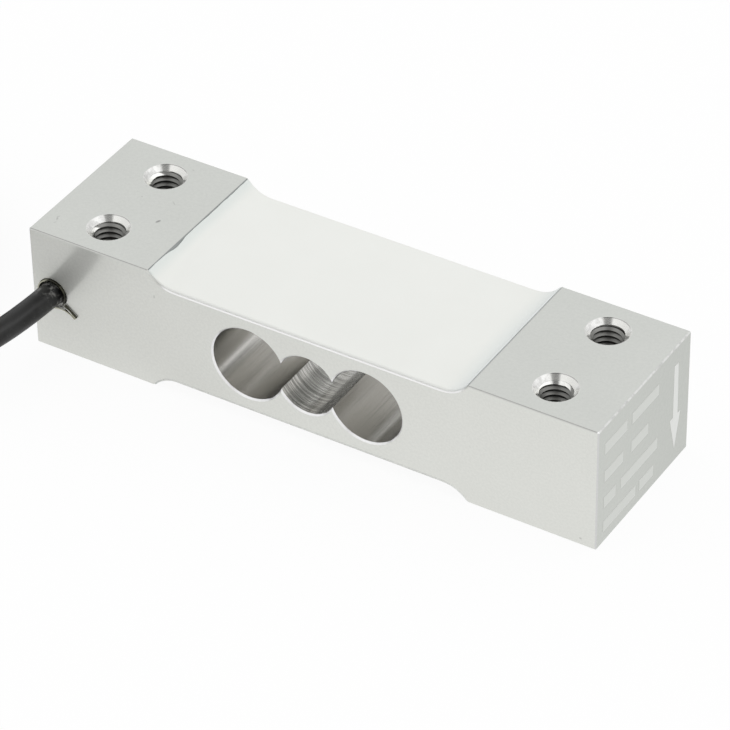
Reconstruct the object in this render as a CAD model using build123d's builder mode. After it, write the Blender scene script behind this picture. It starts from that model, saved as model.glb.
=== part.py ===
from build123d import *
import math
import os

# A single point load cell in millimetres. X runs along the beam from the fixed end, where the
# cable leaves, to the load end. Y runs across it, away from the side with the cable, and Z is up.
# The origin is the middle of the block's underside.

# Block
block_length = 150.0
block_width = 42.5
block_height = 33.0
edge_break = 0.3

# Shallow recesses that free the middle of the beam from its two mounting ends
recess_length = 84.4
top_recess_depth = 3.9
bottom_recess_depth = 3.5
recess_end_radius = 8.5

# Three crossing bores that leave four thin flexures
outer_bore_radius = 9.5
outer_bore_offset = 15.6
middle_bore_radius = 7.7
bore_mouth_break = 0.4

# Tapped mounting holes, drawn at the major diameter of their thread
mount_hole_radius = 4.0
mount_sink_radius = 5.2
mount_hole_spacing = 23.6
mount_hole_inset = 15.9

# Cable, its blind hole and the passages for the wires
cable_radius = 3.0
cable_hole_radius = 4.0
cable_hole_inset = 5.5
cable_hole_overrun = 3.25
cable_entry_depth = 12.2
potting_setback = 0.6
lead_passage_radius = 2.4
lead_passage_setback = 3.5
bridge_passage_radius = 2.1

# Steel strip wrapped round the cable in the mouth of its hole
clip_radius = 3.7
clip_thickness = 0.3
clip_width = 4.2
clip_stand = 0.6
clip_free_angle = -31.0
clip_bottom_angle = -74.0
clip_tail_reach = 6.3
clip_tail_drop = 5.0

# Silicone coats over the gauges
sealant_setback = 0.5
sealant_edge = 0.35
sealant_crown = 2.2
sealant_coat = 0.6

# Strain gauges: a film backing with a foil grid on it
backing_length = 10.0
backing_width = 6.4
backing_thickness = 0.15
backing_shift = 0.8
grid_thickness = 0.1
strand_count = 8
strand_length = 5.0
strand_width = 0.26
strand_pitch = 0.5
tab_length = 1.6
tab_width = 1.4

# Terminal boards, their pads, and the compensation resistors
board_length = 5.0
board_width = 22.4
board_thickness = 0.8
board_gap = 1.4
board_clearance = 0.2
pad_thickness = 0.1
pad_length = 4.2
pad_width = 1.6
pad_pitch = 3.0
bridge_pad_width = 0.9
bridge_wire_pitch = 1.4
resistor_length = 5.6
resistor_width = 3.4
resistor_thickness = 0.35
resistor_offset = 10.5

# Wires
conductor_radius = 0.4
drain_radius = 0.25
jumper_radius = 0.2
bridge_wire_radius = 0.25
wire_clearance = 0.05
conductor_pitch = 0.9
conductor_bend = 1.3
jumper_bend = 0.5
jumper_straight = 2.0
jumper_ramp = 3.0
jumper_lane_gap = 2.0
jumper_landing = 1.0
resistor_jumper_lead = 1.0

# Free cable: the run down to the floor and the coil of what is put away
coil_centre = (-139.0, -20.75)
coil_turn_radii = (33.0, 39.0)
coil_rows = (4, 3)
coil_corner = 1.2
cable_floor_gap = 0.2
cable_straight = 6.75
cable_sag = 0.4
coil_end_angle = -90.0
coil_gap_angle = 67.0
end_lead_pitch = 1.1
end_lead_step_angle = 9.0
end_lead_clearance = 0.2
end_lead_steps = 6
end_lead_sleeve_steps = 4
bare_core_radius = 0.22

# Places that follow from the sizes above
top_floor = block_height - top_recess_depth
bottom_floor = bottom_recess_depth
waist_middle = (top_floor + bottom_floor) / 2
front_face = -block_width / 2
mount_hole_x = block_length / 2 - mount_hole_inset
cable_x = cable_hole_inset - block_length / 2
cable_end_y = front_face + cable_entry_depth
cable_hole_depth = cable_hole_overrun - front_face
passage_exit_x = -recess_length / 2 + lead_passage_setback
passage_direction = Vector(passage_exit_x - cable_x, 0, top_floor - waist_middle)
passage_slope = passage_direction.Z / passage_direction.X
board_x = -outer_bore_offset - outer_bore_radius - board_gap - board_length / 2
bridge_y = board_width / 2 + bridge_passage_radius + board_clearance
pad_top = top_floor + board_thickness + pad_thickness
tab_x = -(strand_length + tab_length) / 2
tab_y = strand_pitch * (strand_count - 1) / 2
cable_rest_level = cable_radius + cable_floor_gap
clip_gap = 2 * clip_radius * math.sin(math.radians(clip_free_angle - clip_bottom_angle) / 2)
coil_inner = coil_turn_radii[0] - cable_radius
coil_middle = coil_turn_radii[0] + cable_radius
coil_outer = coil_turn_radii[1] + cable_radius
inner_column_height = 2 * cable_radius * coil_rows[0]
outer_column_height = 2 * cable_radius * coil_rows[1]

# Working planes: up is out of the beam in each recess
top_recess_plane = Plane(origin=(0, 0, top_floor), x_dir=(1, 0, 0), z_dir=(0, -1, 0))
bottom_recess_plane = Plane(origin=(0, 0, bottom_floor), x_dir=(1, 0, 0), z_dir=(0, 1, 0))
top_section_plane = Plane(origin=(0, 0, top_floor), x_dir=(0, 1, 0), z_dir=(1, 0, 0))
bottom_section_plane = Plane(origin=(0, 0, bottom_floor), x_dir=(0, 1, 0), z_dir=(-1, 0, 0))
top_face_plane = Plane.XY.offset(block_height)
bottom_face_plane = Plane(origin=(0, 0, 0), x_dir=(1, 0, 0), z_dir=(0, 0, -1))
front_face_plane = Plane(origin=(0, front_face, 0), x_dir=(1, 0, 0), z_dir=(0, -1, 0))
middle_plane = Plane.XY.offset(waist_middle)


def recess_outline(depth):
    """Side view of a recess: a flat floor between two arcs that run out at sharp lips."""
    run = math.sqrt(2 * recess_end_radius * depth - depth**2)
    half_flat = recess_length / 2 - run
    with BuildSketch() as outline:
        with BuildLine():
            floor = Line((-half_flat, 0), (half_flat, 0))
            right = TangentArc(floor @ 1, (recess_length / 2, depth), tangent=(1, 0))
            left = TangentArc(floor @ 0, (-recess_length / 2, depth), tangent=(-1, 0))
            Line(left @ 1, right @ 1)
        make_face()
    return outline.sketch


def round_wire(points, radii, radius):
    """A round wire along straight runs joined by tangent arcs."""
    with BuildPart() as wire:
        with BuildLine() as path:
            FilletPolyline(*points, radius=radii)
        with BuildSketch(path.line ^ 0):
            Circle(radius)
        sweep()
    return wire.part


def natural_radii(points):
    """The largest tangent arc at each corner that leaves both of its runs a straight middle."""
    corners = [Vector(point) for point in points]
    radii = []
    for before, corner, after in zip(corners, corners[1:], corners[2:]):
        run_in = corner - before
        run_out = after - corner
        half_turn = math.radians(run_in.get_angle(run_out)) / 2
        radii.append(0.45 * min(run_in.length, run_out.length) / math.tan(half_turn))
    return radii


# The machined aluminium block
with BuildPart() as beam_body:
    Box(block_length, block_width, block_height, align=(Align.CENTER, Align.CENTER, Align.MIN))
    for plane, depth in (
        (top_recess_plane, top_recess_depth),
        (bottom_recess_plane, bottom_recess_depth),
    ):
        with BuildSketch(plane):
            add(recess_outline(depth))
        extrude(amount=block_width / 2, both=True, mode=Mode.SUBTRACT)
    side_faces = beam_body.faces().filter_by(Axis.Y)
    end_faces = beam_body.faces().filter_by(Axis.X)
    chamfer((side_faces.edges() + end_faces.edges()), edge_break)

    for x, radius in (
        (-outer_bore_offset, outer_bore_radius),
        (0, middle_bore_radius),
        (outer_bore_offset, outer_bore_radius),
    ):
        with Locations((x, 0, waist_middle)):
            Cylinder(radius, block_width, rotation=(90, 0, 0), mode=Mode.SUBTRACT)
        for side in (-1, 1):
            mouth_y = side * (block_width - bore_mouth_break) / 2
            with Locations((x, mouth_y, waist_middle)):
                Cone(
                    radius,
                    radius + bore_mouth_break,
                    bore_mouth_break,
                    rotation=(-90 * side, 0, 0),
                    mode=Mode.SUBTRACT,
                )

    for plane in (top_face_plane, bottom_face_plane):
        with Locations(plane):
            with GridLocations(2 * mount_hole_x, mount_hole_spacing, 2, 2):
                CounterSinkHole(mount_hole_radius, mount_sink_radius, depth=block_height, counter_sink_angle=90)

    with BuildSketch(front_face_plane):
        with Locations((cable_x, waist_middle)):
            Circle(cable_hole_radius)
    extrude(amount=-cable_hole_depth, mode=Mode.SUBTRACT)
    with BuildSketch(Plane(origin=(cable_x, 0, waist_middle), z_dir=passage_direction)):
        Circle(lead_passage_radius)
    extrude(amount=passage_direction.length + 3 * lead_passage_radius, mode=Mode.SUBTRACT)
    with Locations((board_x, bridge_y, waist_middle)):
        Cylinder(bridge_passage_radius, block_height, mode=Mode.SUBTRACT)
beam_body.part.label = "beam_body"

# Strain gauges over the outer bores, where the flexures bend most
def gauge_backing(x):
    with BuildPart() as backing:
        with Locations((x - backing_shift, 0, top_floor)):
            Box(
                backing_length,
                backing_width,
                backing_thickness,
                align=(Align.CENTER, Align.CENTER, Align.MIN),
            )
    return backing.part


def gauge_grid(x):
    """A serpentine of foil strands with two solder tabs at its end nearer the cable."""
    with BuildPart() as grid:
        with BuildSketch(Plane(origin=(x, 0, top_floor + backing_thickness))):
            with GridLocations(0, strand_pitch, 1, strand_count):
                Rectangle(strand_length, strand_width)
            for loop in range(strand_count - 1):
                end = 1 if loop % 2 == 0 else -1
                loop_x = end * (strand_length - strand_width) / 2
                loop_y = (loop + 0.5) * strand_pitch - tab_y
                with Locations((loop_x, loop_y)):
                    Rectangle(strand_width, strand_pitch + strand_width)
            with GridLocations(0, 2 * tab_y, 1, 2):
                with Locations((tab_x, 0)):
                    Rectangle(tab_length, tab_width)
        extrude(amount=grid_thickness)
    return grid.part


gauge_backings = {}
gauge_grids = {}
for end_name, x in (("fixed", -outer_bore_offset), ("load", outer_bore_offset)):
    with BuildPart() as backing_top:
        add(gauge_backing(x))
    with BuildPart() as backing_bottom:
        mirror(backing_top.part, about=middle_plane)
    with BuildPart() as grid_top:
        add(gauge_grid(x))
    with BuildPart() as grid_bottom:
        mirror(grid_top.part, about=middle_plane)
    gauge_backings["gauge_backing_top_" + end_name] = backing_top
    gauge_backings["gauge_backing_bottom_" + end_name] = backing_bottom
    gauge_grids["gauge_grid_top_" + end_name] = grid_top
    gauge_grids["gauge_grid_bottom_" + end_name] = grid_bottom
for name, piece in {**gauge_backings, **gauge_grids}.items():
    piece.part.label = name

# Terminal boards on the recess floors, with one pad per joint
with BuildPart() as terminal_board_top:
    with Locations((board_x, 0, top_floor)):
        Box(
            board_length,
            board_width,
            board_thickness,
            align=(Align.CENTER, Align.CENTER, Align.MIN),
        )
terminal_board_top.part.label = "terminal_board_top"

bridge_pad_y = board_width / 2 - bridge_pad_width
with BuildPart() as solder_pads_top:
    with BuildSketch(Plane(origin=(board_x, 0, top_floor + board_thickness))):
        with GridLocations(0, pad_pitch, 1, 7):
            Rectangle(pad_length, pad_width)
        with Locations((0, bridge_pad_y)):
            with GridLocations(bridge_wire_pitch, 0, 3, 1):
                Rectangle(bridge_pad_width, bridge_pad_width)
    extrude(amount=pad_thickness)
solder_pads_top.part.label = "solder_pads_top"

with BuildPart() as terminal_board_bottom:
    mirror(terminal_board_top.part, about=middle_plane)
terminal_board_bottom.part.label = "terminal_board_bottom"

with BuildPart() as solder_pads_bottom:
    mirror(solder_pads_top.part, about=middle_plane)
solder_pads_bottom.part.label = "solder_pads_bottom"

# Compensation resistors, bonded over the stiff middle of the beam
def foil_resistor(side):
    with BuildPart() as resistor:
        with Locations((0, side * resistor_offset, top_floor)):
            Box(
                resistor_length,
                resistor_width,
                resistor_thickness,
                align=(Align.CENTER, Align.CENTER, Align.MIN),
            )
        fillet(resistor.edges().filter_by(Axis.Z), resistor_width / 8)
    return resistor.part


with BuildPart() as span_resistor_plus:
    add(foil_resistor(1))
span_resistor_plus.part.label = "span_resistor_plus"

with BuildPart() as span_resistor_minus:
    add(foil_resistor(-1))
span_resistor_minus.part.label = "span_resistor_minus"

with BuildPart() as zero_trim_resistor:
    mirror(span_resistor_minus.part, about=middle_plane)
zero_trim_resistor.part.label = "zero_trim_resistor"

# Enamelled jumpers from the gauges and resistors to the terminal board
tab_level = top_floor + backing_thickness + grid_thickness + jumper_radius
floor_level = top_floor + jumper_radius + wire_clearance
pad_level = pad_top + jumper_radius
resistor_level = top_floor + resistor_thickness + jumper_radius
pad_edge_x = board_x + pad_length / 2
board_edge_x = board_x + board_length / 2 + jumper_landing
pad_joint_x = pad_edge_x - jumper_landing
lane_end_x = board_edge_x + jumper_ramp


def gauge_jumper(gauge_x, side, lane_y, pad_y):
    """From a gauge's tab to its pad, along a lane on the recess floor if it has another gauge to pass."""
    start_x = gauge_x + tab_x
    points = [
        (start_x, side * tab_y, tab_level),
        (start_x - jumper_straight, side * tab_y, tab_level),
        (board_edge_x, side * pad_y, pad_level),
        (pad_joint_x, side * pad_y, pad_level),
    ]
    if lane_y:
        lane = [
            (start_x - jumper_straight - jumper_ramp, side * lane_y, floor_level),
            (lane_end_x, side * lane_y, floor_level),
        ]
        points[2:2] = lane
    return round_wire(points, [jumper_bend] * (len(points) - 2), jumper_radius)


def resistor_jumper(side):
    end_x = -resistor_length / 2
    pad_y = 3 * pad_pitch
    points = [
        (end_x + resistor_jumper_lead, side * resistor_offset, resistor_level),
        (end_x - resistor_jumper_lead, side * resistor_offset, resistor_level),
        (end_x - resistor_jumper_lead - jumper_straight, side * resistor_offset, floor_level),
        (lane_end_x, side * (pad_y + jumper_bend), floor_level),
        (board_edge_x, side * pad_y, pad_level),
        (pad_joint_x, side * pad_y, pad_level),
    ]
    return round_wire(points, [jumper_bend] * (len(points) - 2), jumper_radius)


def jumper_set(resistor_sides):
    with BuildPart() as wires:
        for side in (-1, 1):
            add(gauge_jumper(-outer_bore_offset, side, None, pad_pitch))
            add(gauge_jumper(outer_bore_offset, side, backing_width / 2 + jumper_lane_gap, 2 * pad_pitch))
        for side in resistor_sides:
            add(resistor_jumper(side))
    return wires.part


with BuildPart() as jumper_wires_top:
    add(jumper_set((-1, 1)))
jumper_wires_top.part.label = "jumper_wires_top"

with BuildPart() as jumper_wires_bottom:
    mirror(jumper_set((-1,)), about=middle_plane)
jumper_wires_bottom.part.label = "jumper_wires_bottom"

# Wires that join the two boards through the beam
bridge_level = pad_top + bridge_wire_radius
bridge_drop_level = 2 * waist_middle - bridge_level
with BuildPart() as bridge_wires:
    for step in (-1, 0, 1):
        wire_x = board_x + step * bridge_wire_pitch
        add(
            round_wire(
                [
                    (wire_x, bridge_pad_y, bridge_level),
                    (wire_x, bridge_y, bridge_level),
                    (wire_x, bridge_y, bridge_drop_level),
                    (wire_x, bridge_pad_y, bridge_drop_level),
                ],
                [jumper_landing] * 2,
                bridge_wire_radius,
            )
        )
bridge_wires.part.label = "bridge_wires"


# The cable's conductors, from its cut end through the sloping passage to the top board
def cable_conductor(lane, radius):
    """lane counts the wires across the passage, and the same wires' pads on the board."""
    start_x = cable_x - lane * conductor_pitch
    lane_y = lane * conductor_pitch
    level = pad_top + radius
    start_z = waist_middle + (start_x - cable_x) * passage_slope
    exit_level = top_floor + radius + wire_clearance
    exit_x = cable_x + (exit_level - waist_middle) / passage_slope
    points = [
        (start_x, cable_end_y, start_z),
        (start_x, lane_y, start_z),
        (exit_x, lane_y, exit_level),
        (board_x - board_length / 2 - jumper_bend, lane * pad_pitch, level),
        (board_x, lane * pad_pitch, level),
    ]
    return round_wire(points, [conductor_bend, conductor_bend, jumper_bend], radius)


conductors = {}
for colour, lane in (("red", -2), ("white", -1), ("green", 1), ("black", 2)):
    with BuildPart() as conductor:
        add(cable_conductor(lane, conductor_radius))
    conductor.part.label = "conductor_" + colour
    conductors[conductor.part.label] = conductor

with BuildPart() as drain_wire:
    add(cable_conductor(0, drain_radius))
drain_wire.part.label = "drain_wire"

# The steel strip: a loop round the cable whose two ends are pinched together below it
with BuildPart() as cable_clip:
    with BuildSketch(front_face_plane.offset(clip_stand)):
        with BuildLine(mode=Mode.PRIVATE) as strip:
            loop = CenterArc(
                (cable_x, waist_middle),
                clip_radius,
                clip_free_angle,
                360 + clip_bottom_angle - clip_free_angle,
            )
            tip = (cable_x + clip_tail_reach, waist_middle - clip_tail_drop)
            Line((tip[0] + clip_thickness, tip[1] + clip_thickness), loop @ 0)
            TangentArc(loop @ 1, tip, tangent=loop % 1)
        trace(strip.edges(), line_width=clip_thickness)
    extrude(amount=-clip_stand + wire_clearance)
    with BuildSketch(front_face_plane.offset(clip_stand)):
        with Locations((cable_x, waist_middle)):
            Circle(clip_radius + clip_thickness / 2)
            Circle(clip_radius - clip_thickness / 2, mode=Mode.SUBTRACT)
            with PolarLocations(clip_radius, 1, (clip_free_angle + clip_bottom_angle) / 2):
                Rectangle(clip_radius, clip_gap, mode=Mode.SUBTRACT)
    extrude(amount=-clip_width)
cable_clip.part.label = "cable_clip"

# The cable from its cut end inside the block, out of the side and down to the floor
cable_route = [
    (cable_x, cable_end_y, waist_middle),
    (cable_x, front_face - cable_straight, waist_middle - cable_sag),
    (-75.0, -50.0, 14.5),
    (-92.0, -60.6, 6.8),
    (-109.0, -59.75, cable_rest_level),
    (-141.0, -58.6, cable_rest_level),
]
cable_radii = natural_radii(cable_route)
with BuildPart() as cable_jacket:
    add(round_wire(cable_route, cable_radii, cable_radius))
    with Locations((coil_centre[0], coil_centre[1], outer_column_height / 2)):
        Cylinder(coil_outer, 2 * outer_column_height, mode=Mode.SUBTRACT)
cable_jacket.part.label = "cable_jacket"

# The coil: two columns of turns, and the inner one is a turn taller
coil_axis = Axis((coil_centre[0], coil_centre[1], 0), (0, 0, 1))
last_turn_floor = inner_column_height - 2 * cable_radius
gap_start = math.radians(coil_end_angle - coil_gap_angle)
coil_section_plane = Plane(origin=(*coil_centre, 0), x_dir=(1, 0, 0), z_dir=(0, -1, 0))
coil_gap_plane = Plane(
    origin=(*coil_centre, last_turn_floor),
    x_dir=(math.cos(gap_start), math.sin(gap_start), 0),
    z_dir=(math.sin(gap_start), -math.cos(gap_start), 0),
)
with BuildPart() as cable_coil:
    with BuildSketch(coil_section_plane) as coil_section:
        with BuildLine():
            Polyline(
                (coil_inner, 0),
                (coil_outer, 0),
                (coil_outer, outer_column_height),
                (coil_middle, outer_column_height),
                (coil_middle, inner_column_height),
                (coil_inner, inner_column_height),
                close=True,
            )
        make_face()
        step_corner = (coil_middle, outer_column_height, 0)
        fillet(coil_section.vertices().sort_by_distance(step_corner)[1:], coil_corner)
    revolve(axis=coil_axis)
    with BuildSketch(coil_gap_plane):
        Rectangle(2 * coil_outer, 4 * cable_radius, align=(Align.MIN, Align.MIN))
    revolve(axis=coil_axis, revolution_arc=coil_gap_angle, mode=Mode.SUBTRACT)
cable_coil.part.label = "cable_coil"


# Stripped conductors at the far end, side by side on the turn below the cut end
def end_lead_route(lane, radius):
    points = []
    for step in range(end_lead_steps + 1):
        angle = math.radians(coil_end_angle - end_lead_clearance - step * end_lead_step_angle)
        turn_radius = coil_turn_radii[0] + lane * end_lead_pitch * (1 + 0.03 * step)
        drop = min(step / 2, 1) * (cable_radius - radius - wire_clearance)
        level = last_turn_floor + cable_radius - drop
        x = coil_centre[0] + turn_radius * math.cos(angle)
        y = coil_centre[1] + turn_radius * math.sin(angle)
        points.append((x, y, level))
    return points


end_leads = {}
for colour, lane in (("red", -2), ("white", -1), ("green", 1), ("black", 2)):
    with BuildPart() as end_lead:
        route = end_lead_route(lane, conductor_radius)
        sleeve = route[: end_lead_sleeve_steps + 1]
        add(round_wire(route, natural_radii(route), bare_core_radius))
        add(round_wire(sleeve, natural_radii(sleeve), conductor_radius))
    end_lead.part.label = "end_lead_" + colour
    end_leads[end_lead.part.label] = end_lead

with BuildPart() as end_lead_drain:
    route = end_lead_route(0, drain_radius)
    add(round_wire(route, natural_radii(route), drain_radius))
end_lead_drain.part.label = "end_lead_drain"

# Potting that fills the cable hole round the cable, the clip and the wires
with BuildPart() as cable_potting:
    with BuildSketch(front_face_plane.offset(-potting_setback)):
        with Locations((cable_x, waist_middle)):
            Circle(cable_hole_radius)
    extrude(amount=potting_setback - cable_hole_depth)
    add(cable_jacket.part, mode=Mode.SUBTRACT)
    add(cable_clip.part, mode=Mode.SUBTRACT)
    for conductor in conductors.values():
        add(conductor.part, mode=Mode.SUBTRACT)
    add(drain_wire.part, mode=Mode.SUBTRACT)
cable_potting.part.label = "cable_potting"


# Silicone: a crowned pad over the gauges and a thin coat up both end arcs, cast round what it covers
def sealant_pad(recess_plane, section_plane, depth, covered):
    half_width = block_width / 2 - sealant_setback
    with BuildPart() as crowned:
        with BuildSketch(section_plane):
            with BuildLine():
                base = Line((-half_width, 0), (half_width, 0))
                right = Line(base @ 1, (half_width, sealant_edge))
                left = Line(base @ 0, (-half_width, sealant_edge))
                ThreePointArc(left @ 1, (0, sealant_crown), right @ 1)
            make_face()
        extrude(amount=recess_length / 2, both=True)
        with BuildSketch(recess_plane):
            add(recess_outline(depth))
        extrude(amount=block_width, both=True, mode=Mode.INTERSECT)
    with BuildPart() as pad:
        with BuildSketch(recess_plane):
            add(recess_outline(depth))
            with Locations((0, sealant_coat)):
                add(recess_outline(depth), mode=Mode.SUBTRACT)
        extrude(amount=half_width, both=True)
        add(crowned.part)
        for piece in covered:
            add(piece.part, mode=Mode.SUBTRACT)
    return pad.part


with BuildPart() as top_sealant:
    add(
        sealant_pad(
            top_recess_plane,
            top_section_plane,
            top_recess_depth,
            [
                gauge_backings["gauge_backing_top_fixed"],
                gauge_backings["gauge_backing_top_load"],
                gauge_grids["gauge_grid_top_fixed"],
                gauge_grids["gauge_grid_top_load"],
                terminal_board_top,
                solder_pads_top,
                span_resistor_plus,
                span_resistor_minus,
                jumper_wires_top,
                bridge_wires,
                *conductors.values(),
                drain_wire,
            ],
        )
    )
top_sealant.part.label = "top_sealant"

with BuildPart() as bottom_sealant:
    add(
        sealant_pad(
            bottom_recess_plane,
            bottom_section_plane,
            bottom_recess_depth,
            [
                gauge_backings["gauge_backing_bottom_fixed"],
                gauge_backings["gauge_backing_bottom_load"],
                gauge_grids["gauge_grid_bottom_fixed"],
                gauge_grids["gauge_grid_bottom_load"],
                terminal_board_bottom,
                solder_pads_bottom,
                zero_trim_resistor,
                jumper_wires_bottom,
                bridge_wires,
            ],
        )
    )
bottom_sealant.part.label = "bottom_sealant"

pieces = [
    beam_body,
    top_sealant,
    bottom_sealant,
    *gauge_backings.values(),
    *gauge_grids.values(),
    terminal_board_top,
    terminal_board_bottom,
    solder_pads_top,
    solder_pads_bottom,
    span_resistor_plus,
    span_resistor_minus,
    zero_trim_resistor,
    jumper_wires_top,
    jumper_wires_bottom,
    bridge_wires,
    *conductors.values(),
    drain_wire,
    cable_potting,
    cable_clip,
    cable_jacket,
    cable_coil,
    *end_leads.values(),
    end_lead_drain,
]
os.makedirs("parts", exist_ok=True)
for piece in pieces:
    export_step(piece.part, f"parts/{piece.part.label}.step")

print("pieces:", len(pieces))
print("cable run arc radii:", [round(radius, 1) for radius in cable_radii])
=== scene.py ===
import math

import bmesh
import bpy
from mathutils import Matrix, Vector, noise


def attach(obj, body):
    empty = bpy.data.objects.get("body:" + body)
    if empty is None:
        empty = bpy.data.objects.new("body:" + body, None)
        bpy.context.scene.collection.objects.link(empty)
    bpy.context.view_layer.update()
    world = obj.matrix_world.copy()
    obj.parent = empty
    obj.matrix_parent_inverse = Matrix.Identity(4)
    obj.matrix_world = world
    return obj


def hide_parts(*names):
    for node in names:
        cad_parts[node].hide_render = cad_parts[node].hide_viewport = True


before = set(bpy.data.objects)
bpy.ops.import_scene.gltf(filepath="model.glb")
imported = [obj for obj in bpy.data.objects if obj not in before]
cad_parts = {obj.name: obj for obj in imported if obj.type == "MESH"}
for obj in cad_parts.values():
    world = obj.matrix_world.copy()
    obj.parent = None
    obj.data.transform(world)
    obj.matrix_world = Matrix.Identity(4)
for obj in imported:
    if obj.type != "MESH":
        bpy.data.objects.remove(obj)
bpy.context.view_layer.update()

MM = 0.001

# Sizes repeated from the part, in millimetres
BLOCK = (150.0, 42.5, 33.0)
TOP_FLOOR = 29.1
BOTTOM_FLOOR = 3.5
RECESS_LENGTH = 84.4
RECESS_END_RADIUS = 8.5
WAIST_MIDDLE = 16.3
BORES = ((-15.6, 9.5), (0.0, 7.7), (15.6, 9.5))
HOLE_X = 59.1
HOLE_Y = 11.8
HOLE_RADIUS = 4.0
SINK_RADIUS = 5.2
CABLE_X = -69.5
CABLE_RADIUS = 3.0
SEALANT_HALF_WIDTH = 20.95
SEALANT_CROWN = 2.2

# The strip's pinched tail: the middle and the radius of its bend, seen from the front, in millimetres
TAIL_CENTRE = (-69.40, 6.19)
TAIL_RADIUS = 8.35

# Tints of the milled faces, for grey()
FRONT_DARK_TINT = (0.995, 1.005, 0.958)
FRONT_LIGHT_TINT = (0.995, 1.005, 0.962)
TOP_TINT = (0.99, 1.01, 0.97)
END_TINT = (0.985, 1.012, 0.962)

# Marks on the top and the front: place on the face, half sizes, turn in degrees, darkness
TOP_MARKS = (
    (-50.6, -4.1, 0.95, 0.42, -69, 0.6),
    (-59.4, 2.3, 0.35, 0.25, 0, 0.25),
    (-51.4, 3.8, 1.1, 0.2, 36, 0.22),
    (-71.4, -14.9, 0.95, 0.24, 60, 0.3),
    (-71.0, -16.4, 0.6, 0.24, 121, 0.18),
    (-71.6, -14.05, 0.5, 0.2, -30, 0.25),
    (-60.9, 6.3, 0.3, 0.25, 0, 0.2),
    (-54.9, 17.2, 0.5, 0.25, 20, 0.2),
    (54.3, -2.9, 0.7, 0.2, -30, 0.15),
    (-60.0, 20.2, 0.3, 0.2, 0, 0.2),
)
FRONT_MARKS = (
    (-40.6, 26.1, 0.3, 0.6, 0, 0.25),
    (71.1, 1.9, 0.4, 0.35, 0, 0.3),
)

# Scuffs on the silicone: place, half sizes, turn in degrees
SCUFF_HEIGHT = 31
SCUFFS = (
    (-15.4, 4.5, 0.5, 0.25, 10),
    (3.9, 4.4, 1.5, 0.12, 50),
    (4.9, 3.0, 0.7, 0.10, 80),
    (19.7, -11.3, 0.4, 0.2, 0),
    (21.5, -5.1, 0.35, 0.2, 30),
    (-8.2, 12.0, 0.35, 0.2, 0),
)


# Colours

def grey(value, tint=(1.0, 1.0, 1.0)):
    return (value * tint[0], value * tint[1], value * tint[2], 1.0)


def warm(value, blue):
    """A grey with a little less blue."""
    return grey(value, (1.0, 1.0, blue))


# Shader helpers

def node(tree, kind, inputs=None, **settings):
    """Adds a node; an input is a value or another node's output."""
    made = tree.nodes.new(kind)
    for key, value in settings.items():
        setattr(made, key, value)
    for key, value in (inputs or {}).items():
        if isinstance(value, bpy.types.NodeSocket):
            tree.links.new(value, made.inputs[key])
        else:
            made.inputs[key].default_value = value
    return made


def new_material(name):
    """A material with an empty node tree, and the piece's own coordinates in metres."""
    material = bpy.data.materials.new(name)
    material.use_nodes = True
    tree = material.node_tree
    tree.nodes.clear()
    place = node(tree, "ShaderNodeTexCoord").outputs["Object"]
    return material, tree, place


def surface(tree, shader):
    """Links a shader to the material's output."""
    node(tree, "ShaderNodeOutputMaterial", {0: shader.outputs[0]})


def principled(tree, colour, roughness, normal, metallic=0.0, specular=None):
    inputs = {"Base Color": colour, "Metallic": metallic, "Roughness": roughness, "Normal": normal}
    if specular is not None:
        inputs["Specular IOR Level"] = specular
    return node(tree, "ShaderNodeBsdfPrincipled", inputs)


def calc(tree, operation, *values):
    return node(tree, "ShaderNodeMath", dict(enumerate(values)), operation=operation).outputs[0]


def unsigned(tree, value):
    return calc(tree, "ABSOLUTE", value)


def times(tree, *values):
    """The product of several values."""
    product = values[0]
    for value in values[1:]:
        product = calc(tree, "MULTIPLY", product, value)
    return product


def most_of(tree, values):
    """The largest of several values."""
    most = values[0]
    for value in values[1:]:
        most = calc(tree, "MAXIMUM", most, value)
    return most


def fade(tree, value, start, end, low=0.0, high=1.0):
    """A smooth step of a value from start to end."""
    inputs = {"Value": value, "From Min": start, "From Max": end, "To Min": low, "To Max": high}
    return node(tree, "ShaderNodeMapRange", inputs, interpolation_type="SMOOTHSTEP").outputs[0]


def window(tree, value, rise, fall):
    """1 between two soft edges; each edge is a pair of where it starts and where it ends."""
    return times(tree, fade(tree, value, *rise), fade(tree, value, *fall))


def blend(tree, factor, a, b):
    """Mixes two plain values."""
    return node(tree, "ShaderNodeMix", {0: factor, 2: a, 3: b}).outputs[0]


def mix(tree, factor, a, b):
    """Mixes two colours."""
    return node(tree, "ShaderNodeMix", {0: factor, 6: a, 7: b}, data_type="RGBA").outputs[2]


def axes(tree, vector):
    """The three parts of a vector."""
    return node(tree, "ShaderNodeSeparateXYZ", {0: vector}).outputs


def facing(tree):
    """The direction that the surface faces."""
    return node(tree, "ShaderNodeTexCoord").outputs["Normal"]


def vector_math(tree, operation, a, b=(0.0, 0.0, 0.0)):
    """The node's outputs: a vector, and under the name Value a number."""
    return node(tree, "ShaderNodeVectorMath", {0: a, 1: b}, operation=operation).outputs


def toward(tree, vector, direction):
    """How far a vector points along a direction."""
    return vector_math(tree, "DOT_PRODUCT", vector, tuple(direction))["Value"]


def distance_across(tree, place, x, z):
    """Distance in metres from a line along y, given in millimetres."""
    level = vector_math(tree, "MULTIPLY", place, (1, 0, 1))[0]
    return vector_math(tree, "DISTANCE", level, (x * MM, 0, z * MM))["Value"]


def noise_of(tree, place, scale, detail=2.0, roughness=0.5, stretch=(1, 1, 1)):
    if stretch != (1, 1, 1):
        place = node(tree, "ShaderNodeMapping", {"Vector": place, "Scale": stretch}).outputs[0]
    inputs = {"Vector": place, "Scale": scale, "Detail": detail, "Roughness": roughness}
    return node(tree, "ShaderNodeTexNoise", inputs).outputs["Fac"]


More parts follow.
